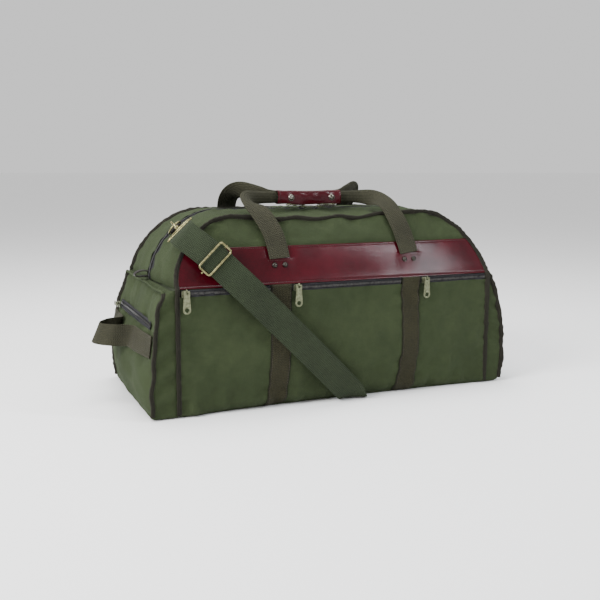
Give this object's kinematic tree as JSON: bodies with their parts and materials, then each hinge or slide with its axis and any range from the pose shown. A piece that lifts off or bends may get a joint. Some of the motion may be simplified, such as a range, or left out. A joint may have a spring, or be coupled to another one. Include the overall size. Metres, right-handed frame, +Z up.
{
  "type": "duffel bag",
  "caption": "Canvas travel duffel with a leather yoke band, zipped front and end pockets, webbing carry handles under a snap wrap, and a clip-on shoulder strap",
  "frame": {"origin": "middle of the base, on the surface the bag stands on", "axes": "+X along the bag to the viewer's right, -Y the front with the leather band, +Z up"},
  "size_m": [0.8286, 0.3637, 0.3831],
  "materials": {
    "canvas": "olive waxed cotton canvas, slub weave",
    "board": "plain stiff board",
    "band_leather": "polished burgundy leather",
    "zip_tape": "dark woven tape",
    "binding": "brown cotton binding over cord",
    "webbing": "ribbed cotton webbing",
    "strap_web": "ribbed green cotton webbing",
    "steel": "worn nickel",
    "brass": "antique brass",
    "dark_leather": "nearly black leather"
  },
  "bodies": {
    "bag": {"base_panel": "canvas", "front_panel": "canvas", "front_pocket_panel": "canvas", "back_panel": "canvas", "left_end_panel": "canvas", "right_end_panel": "canvas", "top_gusset_front": "canvas", "top_gusset_back": "canvas", "left_end_pocket": "canvas", "right_end_pocket": "canvas", "base_board": "board", "leather_band": "band_leather", "main_zipper": "zip_tape", "front_zipper_left": "zip_tape", "front_zipper_center": "zip_tape", "front_zipper_right": "zip_tape", "left_end_zipper": "zip_tape", "right_end_zipper": "zip_tape", "front_binding": "binding", "back_binding": "binding", "left_pocket_binding": "binding", "right_pocket_binding": "binding", "front_webbing_left": "webbing", "front_webbing_right": "webbing", "back_webbing_left": "webbing", "back_webbing_right": "webbing", "left_grab_handle": "webbing", "right_grab_handle": "webbing", "shoulder_strap": "strap_web", "front_rivets_left": "steel", "front_rivets_right": "steel", "left_strap_loop": "brass", "right_strap_loop": "brass", "left_d_ring_tab": "dark_leather", "right_d_ring_tab": "dark_leather", "left_zip_end_tab": "dark_leather", "right_zip_end_tab": "dark_leather"},
    "front_slider_left_body": {"front_slider_left": "brass"},
    "front_pull_left_body": {"front_pull_left": "brass"},
    "front_slider_center_body": {"front_slider_center": "brass"},
    "front_pull_center_body": {"front_pull_center": "brass"},
    "front_slider_right_body": {"front_slider_right": "brass"},
    "front_pull_right_body": {"front_pull_right": "brass"},
    "main_slider_left_body": {"main_slider_left": "brass"},
    "main_pull_left_body": {"main_pull_left": "brass"},
    "left_end_slider_body": {"left_end_slider": "brass"},
    "left_d_ring_body": {"left_d_ring": "brass"},
    "left_snap_hook_body": {"left_snap_hook": "brass"},
    "main_slider_right_body": {"main_slider_right": "brass"},
    "main_pull_right_body": {"main_pull_right": "brass"},
    "right_end_slider_body": {"right_end_slider": "brass"},
    "right_d_ring_body": {"right_d_ring": "brass"},
    "right_snap_hook_body": {"right_snap_hook": "brass"},
    "front_handle_body": {"front_handle": "webbing", "grip_wrap": "band_leather"},
    "grip_flap_body": {"grip_flap": "band_leather", "grip_snaps": "steel"},
    "back_handle_body": {"back_handle": "webbing"},
    "slide_adjuster_body": {"slide_adjuster": "brass"}
  },
  "joints": [
    {"name": "front_slider_left_slide", "type": "slide", "parent": "bag", "child": "front_slider_left_body", "axis": [1, 0, 0], "range_m": [0, 0.13]},
    {"name": "front_pull_left_hinge", "type": "hinge", "parent": "front_slider_left_body", "child": "front_pull_left_body", "pos_m": [-0.292, -0.1692, 0.2135], "axis": [-1, 0, 0], "range_deg": [0, 160]},
    {"name": "front_slider_center_slide", "type": "slide", "parent": "bag", "child": "front_slider_center_body", "axis": [1, 0, 0], "range_m": [0, 0.197]},
    {"name": "front_pull_center_hinge", "type": "hinge", "parent": "front_slider_center_body", "child": "front_pull_center_body", "pos_m": [-0.093, -0.1693, 0.2135], "axis": [-1, 0, 0], "range_deg": [0, 160]},
    {"name": "front_slider_right_slide", "type": "slide", "parent": "bag", "child": "front_slider_right_body", "axis": [1, 0, 0], "range_m": [0, 0.125]},
    {"name": "front_pull_right_hinge", "type": "hinge", "parent": "front_slider_right_body", "child": "front_pull_right_body", "pos_m": [0.1642, -0.1692, 0.2135], "axis": [-1, 0, 0], "range_deg": [0, 160]},
    {"name": "main_slider_left_slide", "type": "slide", "parent": "bag", "child": "main_slider_left_body", "axis": [-1, 0, 0], "range_m": [0, 0.15]},
    {"name": "main_pull_left_hinge", "type": "hinge", "parent": "main_slider_left_body", "child": "main_pull_left_body", "pos_m": [-0.01, 0, 0.3426], "axis": [0, 1, 0], "range_deg": [0, 160]},
    {"name": "left_end_slider_slide", "type": "slide", "parent": "bag", "child": "left_end_slider_body", "axis": [-0.0294, -0.9996, 0], "range_m": [0, 0.23]},
    {"name": "main_slider_right_slide", "type": "slide", "parent": "bag", "child": "main_slider_right_body", "axis": [1, 0, 0], "range_m": [0, 0.14]},
    {"name": "main_pull_right_hinge", "type": "hinge", "parent": "main_slider_right_body", "child": "main_pull_right_body", "pos_m": [0.024, 0, 0.3426], "axis": [0, -1, 0], "range_deg": [0, 160]},
    {"name": "right_end_slider_slide", "type": "slide", "parent": "bag", "child": "right_end_slider_body", "axis": [-0.0294, -0.9996, 0], "range_m": [0, 0.23]},
    {"name": "front_handle_hinge", "type": "hinge", "parent": "bag", "child": "front_handle_body", "pos_m": [0, -0.147, 0.2592], "axis": [1, 0, 0], "range_deg": [0, 157]},
    {"name": "grip_flap_hinge", "type": "hinge", "parent": "front_handle_body", "child": "grip_flap_body", "pos_m": [0, -0.0371, 0.3712], "axis": [-1, 0, 0], "range_deg": [0, 140]},
    {"name": "back_handle_hinge", "type": "hinge", "parent": "bag", "child": "back_handle_body", "pos_m": [0, 0.147, 0.2592], "axis": [-1, 0, 0], "range_deg": [0, 157]},
    {"name": "left_d_ring_hinge", "type": "hinge", "parent": "bag", "child": "left_d_ring_body", "pos_m": [-0.27041, -0.0295, 0.30613], "axis": [0.7366, 0, 0.6763], "range_deg": [0, 5]},
    {"name": "left_snap_hook_swivel", "type": "hinge", "parent": "bag", "child": "left_snap_hook_body", "pos_m": [-0.279, -0.093, 0.307], "axis": [-0.0607, -0.9926, -0.1051], "range_deg": [-25, 25]},
    {"name": "right_d_ring_hinge", "type": "hinge", "parent": "bag", "child": "right_d_ring_body", "pos_m": [0.27041, 0.0295, 0.30613], "axis": [-0.7366, 0, 0.6763], "range_deg": [0, 5]},
    {"name": "right_snap_hook_swivel", "type": "hinge", "parent": "bag", "child": "right_snap_hook_body", "pos_m": [0.279, 0.093, 0.307], "axis": [0.0607, 0.9926, -0.1051], "range_deg": [-25, 25]},
    {"name": "slide_adjuster_slide", "type": "slide", "parent": "bag", "child": "slide_adjuster_body", "axis": [0.6799, -0.261, -0.6853], "range_m": [0, 0.028]}
  ]
}
